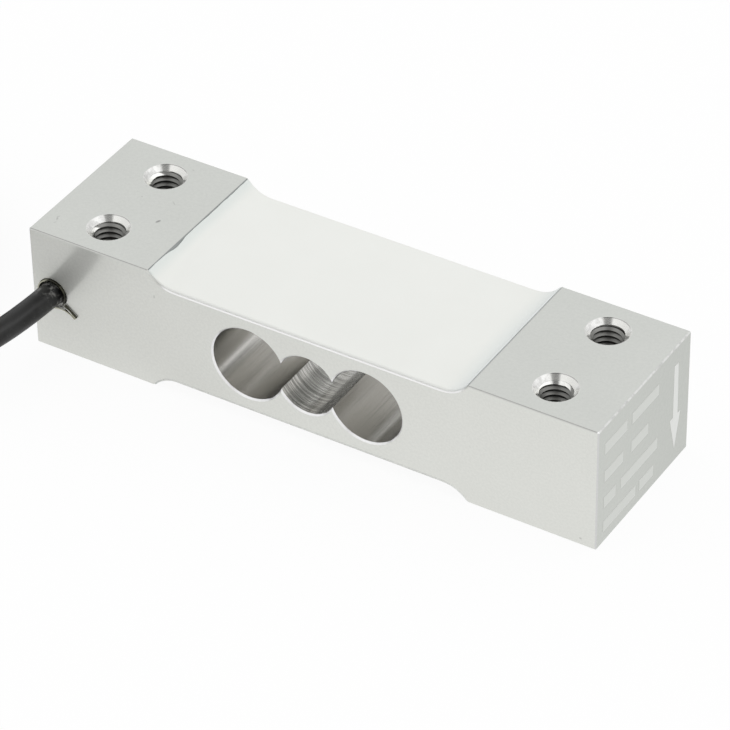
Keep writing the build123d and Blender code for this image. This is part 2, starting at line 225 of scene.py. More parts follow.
def bump(tree, height, distance):
    inputs = {"Height": height, "Distance": distance, "Strength": 1.0}
    return node(tree, "ShaderNodeBump", inputs).outputs[0]


def mark(tree, place, point, size, tilt=0.0, upright=False):
    """A soft oval spot on a face: its middle, its half sizes along the face, and its turn in degrees."""
    through = 4.0
    squash = (1 / size[0], through, 1 / size[1]) if upright else (1 / size[0], 1 / size[1], through)
    moved = vector_math(tree, "SUBTRACT", place, tuple(c * MM for c in point))[0]
    turned = node(
        tree,
        "ShaderNodeVectorRotate",
        {"Vector": moved, "Angle": math.radians(tilt)},
        rotation_type="Y_AXIS" if upright else "Z_AXIS",
    ).outputs[0]
    far = vector_math(tree, "MULTIPLY", turned, tuple(s / MM for s in squash))[0]
    return fade(tree, vector_math(tree, "LENGTH", far)["Value"], 1.0, 0.5)


def away_from_hole(tree, place):
    """Distance from the axis of the nearest mounting hole, in metres."""
    x, y, _ = axes(tree, place)
    across_x = calc(tree, "SUBTRACT", unsigned(tree, x), HOLE_X * MM)
    across_y = calc(tree, "SUBTRACT", unsigned(tree, y), HOLE_Y * MM)
    squares = calc(tree, "ADD", times(tree, across_x, across_x), times(tree, across_y, across_y))
    return calc(tree, "SQRT", squares)


# Piece helpers

def mesh_piece(name, verts, faces, material, smooth=True, angle=None):
    """A closed mesh piece from points in millimetres."""
    data = bpy.data.meshes.new(name)
    data.from_pydata([tuple(c * MM for c in v) for v in verts], [], faces)
    build = bmesh.new()
    build.from_mesh(data)
    bmesh.ops.remove_doubles(build, verts=build.verts, dist=1e-7)
    bmesh.ops.recalc_face_normals(build, faces=build.faces)
    build.to_mesh(data)
    build.free()
    data.polygons.foreach_set("use_smooth", [smooth] * len(data.polygons))
    if angle is not None:
        data.set_sharp_from_angle(angle=math.radians(angle))
    data.materials.append(material)
    piece = bpy.data.objects.new(name, data)
    bpy.context.scene.collection.objects.link(piece)
    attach(piece, "root")
    return piece


def finish_node(name, material):
    """Gives a node of the CAD its material."""
    cad_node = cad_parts[name]
    if not cad_node.data.materials:
        cad_node.data.materials.append(material)
    for index in range(len(cad_node.data.materials)):
        cad_node.data.materials[index] = material


# Camera at the photograph's place

camera_data = bpy.data.cameras.new("camera")
camera_data.lens = 204.4
camera_data.sensor_width = 36.0
camera_data.clip_start = 0.01
camera_data.clip_end = 20.0
camera = bpy.data.objects.new("camera", camera_data)
bpy.context.scene.collection.objects.link(camera)
camera_place = Vector((403.364, -638.342, 590.092)) * MM
camera_target = Vector((7.573, -8.037, 16.5)) * MM
look = (camera_target - camera_place).to_track_quat("-Z", "Y")
turn = Matrix.Rotation(math.radians(-1.016), 4, "Z")
camera.matrix_world = Matrix.Translation(camera_place) @ look.to_matrix().to_4x4() @ turn
bpy.context.scene.camera = camera


# Cable: out of the side, down to the floor, and a coil of what is put away

def cable_material():
    """Dull black with dust, a painted shade stripe and a painted highlight stripe along the first run, set
    by which way the surface faces, and smears by the block.
    """
    material, tree, place = new_material("cable_black")
    x, y, _ = axes(tree, place)
    grain = noise_of(tree, place, 9000.0, 3.0, 0.6)
    cloud = noise_of(tree, place, 320.0, 4.0, 0.65)
    speck = noise_of(tree, place, 1500.0, 2.0, 0.5)
    colour = mix(tree, fade(tree, cloud, 0.35, 0.7), grey(0.007), grey(0.018, (1.0, 1.0, 1.02)))
    colour = mix(tree, fade(tree, speck, 0.66, 0.80, 0.0, 0.5), colour, grey(0.13, (1.0, 0.99, 0.96)))

    # Painted light along the first run: a dark stripe of painted shade and a lighter stripe of painted
    # highlight, placed by which way the surface faces
    run = times(tree, fade(tree, y, -0.060, -0.040), fade(tree, x, -0.085, -0.078))
    across = toward(tree, facing(tree), (-0.824, 0.0, 0.567))
    sway = fade(tree, noise_of(tree, place, 160.0, 2.0, 0.5), 0.3, 0.7, -0.06, 0.06)
    drift = calc(tree, "ADD", across, sway)
    painted_band_and_lit_tone = window(tree, drift, (0.02, 0.20), (0.60, 0.32))
    painted_highlight_band = window(tree, drift, (-0.34, -0.14), (0.06, -0.10))
    colour = mix(tree, times(tree, run, painted_band_and_lit_tone), colour, grey(0.003))
    colour = mix(tree, times(tree, run, painted_highlight_band), colour, grey(0.024, (1.0, 1.0, 1.01)))

    smear = fade(tree, noise_of(tree, place, 620.0, 3.0, 0.6), 0.48, 0.64)
    smears_and_shade = times(tree, run, fade(tree, y, -0.0275, -0.0220), smear)
    colour = mix(tree, smears_and_shade, colour, grey(0.19, (1.0, 0.99, 0.95)))
    rough = fade(tree, cloud, 0.3, 0.75, 0.33, 0.5)
    relief = calc(tree, "ADD", times(tree, grain, 0.4), cloud)
    surface(tree, principled(tree, colour, rough, bump(tree, relief, 0.00006), specular=0.38))
    return material


coil_centre = (-139.0, -20.75)
coil_start_angle = -90.0
coil_end_turn = 2160.0
coil_points_per_turn = 16
coil_slots = ((39, 3), (33, 3), (33, 9), (39, 9), (39, 15), (33, 15), (33, 21))
coil_layer_turn = 360.0
coil_step_back = 44.0
coil_step_end = 8.0
coil_step_span = 48.0


def coil_place(turned):
    """Radius and height of the cable's mid-line after some degrees round the coil."""
    radius, height = coil_slots[0]
    for step in range(1, len(coil_slots)):
        step_end = coil_layer_turn * step - coil_step_back * (step - 1) - coil_step_end
        share = (turned - step_end + coil_step_span) / coil_step_span
        share = min(max(share, 0.0), 1.0)
        share = share * share * (3 - 2 * share)
        before, after = coil_slots[step - 1], coil_slots[step]
        radius += (after[0] - before[0]) * share
        height += (after[1] - before[1]) * share
    return radius, height


def coil_points():
    """Control points of the coil; they lie a little outside it, as the curve cuts their corners."""
    step = 360.0 / coil_points_per_turn
    pull = 1.0 / (0.75 + 0.25 * math.cos(math.radians(step)))
    count = int(round(coil_end_turn / step))
    points = []
    for index in range(count + 1):
        turned = min(index * coil_end_turn / count, coil_end_turn)
        radius, height = coil_place(turned)
        angle = math.radians(coil_start_angle - turned)
        points.append(
            (
                coil_centre[0] + radius * pull * math.cos(angle),
                coil_centre[1] + radius * pull * math.sin(angle),
                height,
            )
        )
    return points


cable_points = [
    (CABLE_X, -9.05, WAIST_MIDDLE),
    (CABLE_X, -28.0, WAIST_MIDDLE - 0.4),
    (-75.0, -50.0, 14.5),
    (-92.0, -60.6, 6.8),
    (-109.0, -59.75, 3.1),
    (-124.0, -59.75, 3.0),
] + coil_points()

cable_curve = bpy.data.curves.new("cable", "CURVE")
cable_curve.dimensions = "3D"
cable_curve.bevel_depth = CABLE_RADIUS * MM
cable_curve.bevel_resolution = 8
cable_curve.resolution_u = 8
cable_curve.use_fill_caps = True
cable_line = cable_curve.splines.new("NURBS")
cable_line.points.add(len(cable_points) - 1)
for point, place in zip(cable_line.points, cable_points):
    point.co = (place[0] * MM, place[1] * MM, place[2] * MM, 1.0)
cable_line.order_u = 3
cable_line.use_endpoint_u = True
cable_curve.materials.append(cable_material())
cable = bpy.data.objects.new("cable", cable_curve)
bpy.context.scene.collection.objects.link(cable)
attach(cable, "root")
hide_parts("cable_jacket", "cable_coil")


# Aluminium block

def face_colour_with_painted_light(tree, y, faces, cloud, grain, fine):
    """The milled faces: a faint cloud and grain, with painted light: lit and shaded tones of one metal on
    the front, top and end faces, and the end face painted paler toward the front.
    """
    face_x, _, face_z = faces
    # Painted light: the one aluminium gets a lighter tone on the front, a darker one on top and a darker one
    # still on the ends, by which way each face looks
    front = mix(tree, cloud, grey(0.745, FRONT_DARK_TINT), grey(0.782, FRONT_LIGHT_TINT))
    top = mix(tree, cloud, grey(0.625, TOP_TINT), grey(0.665, TOP_TINT))
    end = mix(tree, cloud, grey(0.545, END_TINT), grey(0.58, END_TINT))
    # Painted highlight: the end face painted paler toward the front
    end = mix(tree, fade(tree, y, 0.018, -0.018, 0.35, 0.74), end, grey(0.645, END_TINT))
    colour = mix(tree, fade(tree, face_z, 0.6, 0.95), front, top)
    colour = mix(tree, fade(tree, face_x, 0.8, 0.97), colour, end)
    colour = mix(tree, fade(tree, fine, 0.62, 0.75, 0.0, 0.10), colour, grey(0.45))
    return mix(tree, fade(tree, grain, 0.55, 0.8, 0.0, 0.12), colour, grey(0.8))


def bore_colour(tree, place, x, rings, middle_bore):
    """Drag marks along the bores, and the middle one scored round and torn toward the load end."""
    cloud = noise_of(tree, place, 60.0, 2.0, 0.5, (1, 0.15, 1))
    drag = noise_of(tree, place, 1.0, 3.0, 0.65, (1300, 12, 1300))
    outer = mix(tree, cloud, grey(0.60, (1.02, 1.0, 0.955)), grey(0.70, (1.01, 1.0, 0.96)))
    outer = mix(tree, fade(tree, drag, 0.45, 0.65, 0.0, 0.4), outer, warm(0.44, 0.96))
    scored = times(tree, fade(tree, rings, 0.47, 0.57), fade(tree, x, 0.003, 0.0, 0.25, 1.0))
    torn = fade(tree, noise_of(tree, place, 3400.0, 2.0, 0.6), 0.44, 0.60)
    torn = times(tree, torn, fade(tree, x, 0.001, 0.004, 0.0, 0.6))
    middle = mix(tree, scored, warm(0.52, 0.97), warm(0.94, 0.98))
    middle = mix(tree, torn, middle, warm(0.33, 0.97))
    return mix(tree, middle_bore, outer, middle)


def painted_edge_lines(tree, place, colour, faces, bore):
    """Broken edges with painted light: a painted highlight along the recess's front edge and painted shade
    along its rear edge, a darker line on the long edges at the two ends, a painted pale line up the corners,
    a painted highlight broken by nicks along the end face's edges, and a painted glint.
    """
    x, y, z = axes(tree, place)
    tipped_x, tipped_y, tipped_z = (fade(tree, axis, 0.4, 0.6) for axis in faces)
    outside = fade(tree, bore, 0.5, 0.0)
    off_middle = unsigned(tree, calc(tree, "SUBTRACT", z, BLOCK[2] / 2 * MM))
    waist = window(tree, x, (-0.0405, -0.0370), (0.0425, 0.0415))
    edge_line_strength = calc(tree, "MAXIMUM", fade(tree, off_middle, 0.01632, 0.01636), waist)
    level_edge = times(tree, tipped_y, tipped_z, outside, fade(tree, edge_line_strength, 0.0, 1.0, 0.25, 1.0))
    upright_edge = times(tree, tipped_y, tipped_x, fade(tree, faces[2], 0.2, 0.1))
    end_edge = times(tree, tipped_x, tipped_z, outside)

    # Painted highlight on the recess's front edge and painted shade on its rear edge
    waist_highlight_and_shade = mix(tree, fade(tree, y, -0.001, 0.001), grey(0.92), grey(0.42, (0.98, 0.97, 1.05)))
    edge_line_tone = mix(tree, waist, warm(0.42, 0.97), waist_highlight_and_shade)
    # Painted highlight along the end face's edges, broken up by nicks
    nicks = fade(tree, noise_of(tree, place, 700.0, 2.0, 0.5), 0.35, 0.6)
    end_edge_highlight = mix(tree, nicks, grey(0.46), grey(0.70))
    colour = mix(tree, times(tree, level_edge, 0.9), colour, edge_line_tone)
    # Painted highlight: a pale line up the upright corners
    colour = mix(tree, times(tree, upright_edge, 0.9), colour, grey(0.70))
    colour = mix(tree, times(tree, end_edge, 0.6), colour, end_edge_highlight)
    # Painted glint at the front top corner of the load end
    glint = mark(tree, place, (74.9, -21.1, 32.9), (0.55, 0.5))
    return mix(tree, glint, colour, grey(0.98))


def seam_shade_and_rim_highlight(tree, place, colour, faces, mouth):
    """Painted shade in the seams along the silicone's two ends, and painted highlights on the rims of the
    bores.
    """
    x, y, z = axes(tree, place)
    half_width = unsigned(tree, y)
    fixed_seam_shade = times(
        tree,
        window(tree, x, (-0.0413, -0.0416), (-0.04228, -0.04221)),
        fade(tree, z, 0.0310, 0.0318),
        fade(tree, half_width, 0.02095, 0.02080),
    )
    load_seam_shade = times(
        tree,
        window(tree, x, (0.04195, 0.04205), (0.04245, 0.04232)),
        fade(tree, z, 0.0318, 0.0323),
        fade(tree, half_width, 0.02110, 0.02100),
    )
    # Painted highlight on the rims of the bores
    rim = times(tree, mouth, fade(tree, half_width, 0.02083, 0.02087), fade(tree, faces[1], 0.95, 0.8))
    # Painted shade: dark lines in the seams at the silicone's two ends
    colour = mix(tree, times(tree, fixed_seam_shade, 0.9), colour, grey(0.30, (0.94, 1.0, 0.98)))
    colour = mix(tree, times(tree, load_seam_shade, 0.6), colour, grey(0.33, (0.98, 1.0, 1.02)))
    return mix(tree, rim, colour, grey(0.95))


def pits_in(tree, place):
    """Small pits and dark marks, with ragged insides."""
    spots = []
    for x, y, length, width, tilt, depth in TOP_MARKS:
        spots.append(times(tree, mark(tree, place, (x, y, BLOCK[2]), (length, width), tilt), depth))
    for x, z, length, width, tilt, depth in FRONT_MARKS:
        spot = mark(tree, place, (x, -BLOCK[1] / 2, z), (length, width), tilt, upright=True)
        spots.append(times(tree, spot, depth))
    ragged = fade(tree, noise_of(tree, place, 2500.0), 0.25, 0.6, 0.35, 1.0)
    return times(tree, most_of(tree, spots), ragged)


def aluminium():
    """Satin faces, cut bores and countersinks, broken edges and pits, with painted light on the faces, edges
    and bore rims and painted shade in the seams.
    """
    material, tree, place = new_material("satin_aluminium")
    x, y, _ = axes(tree, place)
    faces = [unsigned(tree, axis) for axis in axes(tree, facing(tree))]
    cloud = noise_of(tree, place, 45.0, 3.0, 0.6)
    grain = noise_of(tree, place, 2600.0, 2.0, 0.6)
    fine = noise_of(tree, place, 900.0, 3.0, 0.55)
    rings = noise_of(tree, place, 1.0, 4.0, 0.7, (45, 3400, 45))

    # Where the cut surfaces are
    insides, mouths = [], []
    for bore_x, radius in BORES:
        away = distance_across(tree, place, bore_x, WAIST_MIDDLE)
        insides.append(fade(tree, away, (radius + 0.12) * MM, (radius + 0.04) * MM))
        mouths.append(fade(tree, away, (radius + 0.7) * MM, (radius + 0.5) * MM))
    bore = most_of(tree, insides)
    middle_x, middle_radius = BORES[1]
    away = distance_across(tree, place, middle_x, WAIST_MIDDLE)
    middle_bore = fade(tree, away, (middle_radius + 0.1) * MM, (middle_radius + 0.05) * MM)
    away = away_from_hole(tree, place)
    sink = fade(tree, away, (SINK_RADIUS + 0.06) * MM, (SINK_RADIUS - 0.02) * MM)

    colour = face_colour_with_painted_light(tree, y, faces, cloud, grain, fine)
    colour = mix(tree, bore, colour, bore_colour(tree, place, x, rings, middle_bore))
    colour = mix(tree, sink, colour, warm(0.93, 0.965))
    colour = painted_edge_lines(tree, place, colour, faces, bore)
    colour = seam_shade_and_rim_highlight(tree, place, colour, faces, most_of(tree, mouths))
    pits = pits_in(tree, place)
    colour = mix(tree, pits, colour, grey(0.12))

    # Relief: fine grain on the faces, turning marks round the middle bore, and the pits
    cut = calc(tree, "MAXIMUM", bore, sink)
    relief = calc(
        tree,
        "ADD",
        times(tree, grain, fade(tree, cut, 0.0, 1.0, 0.22, 0.0)),
        times(tree, rings, middle_bore, 0.5),
    )
    relief = calc(tree, "SUBTRACT", relief, times(tree, pits, 8.0))
    normal = bump(tree, relief, 0.00002)

    # Gloss: a sharp and a hazy reflection, shared out by place
    rough = calc(tree, "ADD", fade(tree, cloud, 0.3, 0.7, 0.10, 0.13), times(tree, fine, 0.05))
    rough = blend(tree, sink, blend(tree, bore, rough, 0.22), 0.16)
    patchy = fade(tree, noise_of(tree, place, 1500.0, 3.0, 0.6), 0.35, 0.65, 0.72, 0.77)
    haze_share = blend(tree, sink, blend(tree, bore, patchy, 0.12), 0.25)
    speckled = fade(tree, noise_of(tree, place, 2200.0, 2.0, 0.6), 0.50, 0.60)
    speckled = times(tree, speckled, fade(tree, x, 0.001, 0.004, 0.0, 0.8), middle_bore)
    haze_share = blend(tree, speckled, haze_share, 0.95)
    skin = principled(tree, colour, rough, normal, 1.0)
    haze = principled(tree, colour, 0.6, normal, 1.0)
    both = {0: haze_share, 1: skin.outputs[0], 2: haze.outputs[0]}
    surface(tree, node(tree, "ShaderNodeMixShader", both))
    return material


# The cable's strip and potting

def painted_tail_gap_light(tree, place):
    """Painted light: the bright slit between the strip's two ends, and the pale metal inside the loop that
    they leave, standing for the lit block face.
    """
    x, _, z = axes(tree, place)
    edge_on = fade(tree, axes(tree, facing(tree))[1], -0.6, -0.8)
    away = distance_across(tree, place, *TAIL_CENTRE)
    off = unsigned(tree, calc(tree, "SUBTRACT", away, TAIL_RADIUS * MM))
    half = fade(tree, x, -0.0655, -0.0672, 0.00009, 0.00040)
    slit = fade(tree, calc(tree, "SUBTRACT", off, half), 0.00006, -0.00004)
    slit = times(tree, slit, window(tree, x, (-0.0688, -0.0684), (-0.0638, -0.0642)), edge_on)
    loop = times(
        tree,
        window(tree, x, (-0.0694, -0.0690), (-0.0658, -0.0662)),
        fade(tree, z, 0.0148, 0.0142),
        calc(tree, "SUBTRACT", 1.0, edge_on),
    )
    return calc(tree, "ADD", slit, loop)


def clip_steel():
    """Painted light and shade: bright on the strip's lit upper left and nearly black on its ring's shaded
    right, painted shade on the tail's upper faces, and the slit and loop between its ends painted pale.
    """
    material, tree, place = new_material("strip_steel")
    x, _, z = axes(tree, place)
    stain = noise_of(tree, place, 900.0, 3.0, 0.6)
    gap = painted_tail_gap_light(tree, place)
    # Painted shade: the ring's right side, in the cable's shadow, painted nearly black
    smears_and_shade = times(tree, fade(tree, x, -0.0714, -0.0698), fade(tree, z, 0.0128, 0.0138))
    # Painted light and shade: a lit tone and a nearly black shaded tone of the same strip steel
    painted_band_and_lit_tone = mix(tree, stain, (0.26, 0.255, 0.19, 1.0), (0.52, 0.51, 0.42, 1.0))
    black = mix(tree, stain, (0.015, 0.015, 0.012, 1.0), (0.07, 0.068, 0.055, 1.0))
    colour = mix(tree, smears_and_shade, painted_band_and_lit_tone, black)
    # Painted shade on the upward faces of the tail's right part
    upper_shade = times(tree, fade(tree, axes(tree, facing(tree))[2], 0.2, 0.5), fade(tree, x, -0.0675, -0.0668))
    colour = mix(tree, upper_shade, colour, (0.10, 0.098, 0.075, 1.0))
    # Painted light: the slit and the loop painted pale and dull, standing for the lit block face between the
    # strip's ends
    colour = mix(tree, gap, colour, warm(0.85, 0.96))
    rough = blend(tree, gap, fade(tree, stain, 0.3, 0.7, 0.20, 0.32), 0.6)
    metallic = fade(tree, gap, 0.0, 1.0, 1.0, 0.0)
    surface(tree, principled(tree, colour, rough, bump(tree, stain, 0.00003), metallic))
    return material


def potting_finish():
    """Dark compound with pale smears, and a painted light patch below the cable by the strip's tail,
    standing for the lit block face.
    """
    material, tree, place = new_material("potting")
    x, _, z = axes(tree, place)
    stain = noise_of(tree, place, 700.0, 3.0, 0.6)
    colour = mix(tree, stain, (0.014, 0.013, 0.012, 1.0), (0.166, 0.163, 0.148, 1.0))
    painted_light_patch = times(tree, fade(tree, x, -0.0696, -0.0692), fade(tree, z, 0.0142, 0.0138))
    # Painted light: a pale patch standing for the lit block face below the cable
    colour = mix(tree, painted_light_patch, colour, warm(0.75, 0.96))
    rough = fade(tree, stain, 0.3, 0.7, 0.44, 0.56)
    surface(tree, principled(tree, colour, rough, bump(tree, stain, 0.0002)))
    return material


# Finishes of the CAD's own nodes

def plain(name, colour, roughness, metallic=0.0, spread=0.12, scale=600.0):
    """A finish with a slight drift of colour and gloss and a fine relief."""
    material, tree, place = new_material(name)
    cloud = noise_of(tree, place, scale, 3.0, 0.6)
    dark = tuple(c * (1 - spread) for c in colour) + (1.0,)
    light = tuple(min(c * (1 + spread), 1.0) for c in colour) + (1.0,)
    rough = fade(tree, cloud, 0.3, 0.7, roughness * 0.88, min(roughness * 1.12, 1.0))
    normal = bump(tree, noise_of(tree, place, scale * 5, 2.0), 0.00002)
    surface(tree, principled(tree, mix(tree, cloud, dark, light), rough, normal, metallic))
    return material


film = plain("polyimide_film", (0.55, 0.27, 0.05), 0.35)
foil = plain("gauge_foil", (0.62, 0.60, 0.57), 0.3, 1.0)
board = plain("board_laminate", (0.10, 0.24, 0.10), 0.5)
solder = plain("solder", (0.70, 0.70, 0.68), 0.35, 1.0)
resistor = plain("resistor_film", (0.42, 0.20, 0.07), 0.4)
enamel = plain("wire_enamel", (0.45, 0.16, 0.05), 0.3)
tinned = plain("tinned_wire", (0.72, 0.71, 0.68), 0.32, 1.0)
insulation = {
    "red": plain("red_insulation", (0.45, 0.02, 0.02), 0.42),
    "white": plain("white_insulation", (0.78, 0.78, 0.75), 0.42),
    "green": plain("green_insulation", (0.03, 0.25, 0.07), 0.42),
    "black": plain("black_insulation", (0.02, 0.02, 0.02), 0.42),
}

finish_node("beam_body", aluminium())
finish_node("cable_clip", clip_steel())
finish_node("cable_potting", potting_finish())
for end_name in ("top_fixed", "top_load", "bottom_fixed", "bottom_load"):
    finish_node("gauge_backing_" + end_name, film)
    finish_node("gauge_grid_" + end_name, foil)
for side in ("top", "bottom"):
    finish_node("terminal_board_" + side, board)
    finish_node("solder_pads_" + side, solder)
    finish_node("jumper_wires_" + side, enamel)
for name in ("span_resistor_plus", "span_resistor_minus", "zero_trim_resistor"):
    finish_node(name, resistor)
finish_node("bridge_wires", enamel)
finish_node("drain_wire", tinned)
finish_node("end_lead_drain", tinned)
for colour, finish in insulation.items():
    finish_node("conductor_" + colour, finish)
    finish_node("end_lead_" + colour, finish)


# Threads: a ridge wound down each mounting hole and trimmed by its two countersinks

def thread_finish():
    """Painted shade down the hole: dark, darker still with depth and lighter toward the mouth, and bright
    where the countersink cuts the ridge.
    """
    material, tree, place = new_material("thread_aluminium")
    z = axes(tree, place)[2]
    middle = unsigned(tree, calc(tree, "SUBTRACT", z, BLOCK[2] / 2 * MM))
    depth = calc(tree, "SUBTRACT", BLOCK[2] / 2 * MM, middle)
    stain = noise_of(tree, place, 700.0, 3.0, 0.6)
    # Painted shade: the thread's metal made dark inside the hole, darkest deep down
    deep_painted_shade = mix(tree, stain, warm(0.12, 0.94), warm(0.20, 0.95))
    clear = mix(tree, stain, warm(0.20, 0.95), warm(0.29, 0.96))
    flank_painted_shade = mix(tree, fade(tree, middle, 0.0085, 0.0155), deep_painted_shade, clear)
    down_the_cone = calc(tree, "ADD", away_from_hole(tree, place), depth)
    sunk = fade(tree, down_the_cone, (SINK_RADIUS + 0.16) * MM, (SINK_RADIUS + 0.10) * MM)
    colour = mix(tree, sunk, flank_painted_shade, warm(0.9, 0.97))
    rough = fade(tree, sunk, 0.0, 1.0, 0.38, 0.2)
    surface(tree, principled(tree, colour, rough, bump(tree, stain, 0.00003), 1.0))
    return material


def thread(name, centre, phase, material):
    """The ridge of one hole; phase is the share of a turn by which it starts earlier."""
    pitch = 1.5
    crest = 3.38
    valley = HOLE_RADIUS - 0.03
    buried = HOLE_RADIUS + 0.05
    section = (
        (buried, 0.0), (valley, 0.0), (valley, 0.16), (crest, 0.68),
        (crest, 0.84), (valley, 1.36), (valley, pitch), (buried, pitch),
    )
    count = len(section)
    steps = 56
    first_z = -0.3
    turns = 22
    skin = 0.05
    behind_cone = 0.03
    deeper_behind = 0.08
    verts, faces = [], []
    for index in range(turns * steps + 1):
        angle = 2 * math.pi * (index / steps - phase)
        rise = first_z + pitch * index / steps
        for radius, up in section:
            z = min(max(rise + up, skin), BLOCK[2] - skin)
            depth = min(z, BLOCK[2] - z)
            gap = behind_cone if radius < buried else deeper_behind
            free = max(radius, SINK_RADIUS - depth + gap)
            verts.append((centre[0] + free * math.cos(angle), centre[1] + free * math.sin(angle), z))
        if index:
            base = (index - 1) * count
            for side in range(count):
                after = (side + 1) % count
                faces.append((base + side, base + after, base + count + after, base + count + side))
    faces.append(tuple(range(count)))
    faces.append(tuple(reversed(range(len(verts) - count, len(verts)))))
    mesh_piece(name, verts, faces, material, True, 28)


thread_material = thread_finish()
for thread_name, x_side, y_side, phase in (
    ("thread_fixed_front", -1, -1, 0.88),
    ("thread_fixed_rear", -1, 1, 0.98),
    ("thread_load_front", 1, -1, 0.20),
    ("thread_load_rear", 1, 1, 0.77),
):
    thread(thread_name, (x_side * HOLE_X, y_side * HOLE_Y), phase, thread_material)


# Silicone: a crowned pad in each recess with a rounded free edge and a wavy seam at its ends

def silicone():
    """White, with painted shade toward its two ends, grey-green at the fixed end and blue-grey at the load
    end, and a few scuffs.
    """
    material, tree, place = new_material("white_silicone")
    x = axes(tree, place)[0]
    cloud = noise_of(tree, place, 60.0, 3.0, 0.55)
    grain = noise_of(tree, place, 3000.0, 2.0, 0.5)
    colour = mix(tree, cloud, grey(0.785, (0.995, 1.008, 0.965)), grey(0.825, (0.995, 1.006, 0.97)))
    # Painted shade on the silicone toward its two ends
    fixed_end_shade = fade(tree, x, -0.0392, -0.0420, 0.0, 0.6)
    load_end_shade = fade(tree, x, 0.0355, 0.0422, 0.0, 0.6)
    colour = mix(tree, fixed_end_shade, colour, (0.68, 0.73, 0.715, 1.0))
    colour = mix(tree, load_end_shade, colour, (0.645, 0.69, 0.69, 1.0))
    scuffs = most_of(
        tree,
        [
            mark(tree, place, (spot_x, spot_y, SCUFF_HEIGHT), (length, width), tilt)
            for spot_x, spot_y, length, width, tilt in SCUFFS
        ],
    )
    colour = mix(tree, times(tree, scuffs, 0.25), colour, grey(0.55))
    rough = fade(tree, cloud, 0.3, 0.7, 0.50, 0.58)
    relief = calc(tree, "SUBTRACT", times(tree, grain, 0.3), times(tree, scuffs, 2.0))
    surface(tree, principled(tree, colour, rough, bump(tree, relief, 0.00002), specular=0.35))
    return material


def recess_profile(x, depth):
    """Height of the recess's surface above its floor at x."""
    run = math.sqrt(2 * RECESS_END_RADIUS * depth - depth**2)
    flat = RECESS_LENGTH / 2 - run
    past = abs(x) - flat
    if past <= 0:
        return 0.0
    return RECESS_END_RADIUS - math.sqrt(max(RECESS_END_RADIUS**2 - past**2, 0.0))


def wave(value, seed):
    """A smooth drift between -1 and 1."""
    return 1.6 * noise.noise(Vector((value, seed, 0.37)))


def quarter_round(share):
    """A rounded rim: 0 at its foot, where share is 0, and 1 at its shoulder."""
    return math.sqrt(max(1 - (1 - share) ** 2, 0.0))


def sealant(name, node_name, depth, level, up, seed, material):
    """One pad, with its underside just above the recess and its top crowned over the board."""
    columns, rows = 150, 60
    half_length = RECESS_LENGTH / 2
    under = 0.02
    thin_coat = 0.50
    side_height = 0.26
    side_rim = 0.24
    end_rim = 0.45
    proud = 0.05
    verts = []
    for layer in (0, 1):
        for row in range(rows + 1):
            v = -1 + 2 * row / rows
            v = math.copysign(1 - (1 - abs(v)) ** 1.5, v)
            y = v * SEALANT_HALF_WIDTH
            low_end = -half_length + 0.16 + 0.06 * wave(y * 0.16, seed) + 0.04 * wave(y * 0.6, seed + 5)
            low_end += 0.24 * math.exp(-(((y + 9.5) / 3.2) ** 2))
            high_end = half_length - 0.22 - 0.12 * wave(y * 0.13, seed + 9)
            for column in range(columns + 1):
                u = -1 + 2 * column / columns
                u = math.copysign(1 - (1 - abs(u)) ** 1.6, u)
                x = (low_end + high_end) / 2 + u * (high_end - low_end) / 2
                floor = recess_profile(x, depth)
                height = floor + under
                if layer:
                    crown = side_height + (SEALANT_CROWN - side_height) * (1 - v * v)
                    crown += 0.05 * noise.noise(Vector((x * 0.07, y * 0.09, seed)))
                    coat = floor + thin_coat
                    blended = max(crown, coat) + 0.18 * math.exp(-abs(crown - coat) / 0.3)
                    edge_y = min((SEALANT_HALF_WIDTH - abs(y)) / side_rim, 1.0)
                    edge_x = min(min(x - low_end, high_end - x) / end_rim, 1.0)
                    rim = quarter_round(edge_y) * quarter_round(edge_x)
                    height = floor + under + (min(blended, depth + proud) - floor - under) * rim
                    height = max(height, floor + under)
                verts.append((x, y, level + up * height))
    faces = []
    width = columns + 1
    offset = (rows + 1) * width
    for row in range(rows):
        for column in range(columns):
            for corner in (row * width + column, row * width + column + offset):
                faces.append((corner, corner + 1, corner + 1 + width, corner + width))
    piece = mesh_piece(name, verts, faces, material)
    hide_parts(node_name)


silicone_material = silicone()
sealant("silicone_top", "top_sealant", BLOCK[2] - TOP_FLOOR, TOP_FLOOR, 1, 3.1, silicone_material)
sealant("silicone_bottom", "bottom_sealant", BOTTOM_FLOOR, BOTTOM_FLOOR, -1, 8.4, silicone_material)


# Etched arrow and plain bars on the load end's face

ETCH = 0.03


def etched_shape(name, outlines, material):
    """Flat shapes a hair proud of the end face; each outline is a loop of (y, z)."""
    face = BLOCK[0] / 2
    verts, faces = [], []
    for outline in outlines:
        start = len(verts)
        count = len(outline)
        for x in (face - ETCH, face + ETCH):
            verts.extend((x, y, z) for y, z in outline)
        faces.append(tuple(start + i for i in range(count)))
        faces.append(tuple(start + count + i for i in reversed(range(count))))
        for i in range(count):
            j = (i + 1) % count
            faces.append((start + i, start + j, start + count + j, start + count + i))
    mesh_piece(name, verts, faces, material, False)


def bar(y_start, y_end, z, height=3.0):
    low, high = z - height / 2, z + height / 2
    return ((y_start, low), (y_end, low), (y_end, high), (y_start, high))


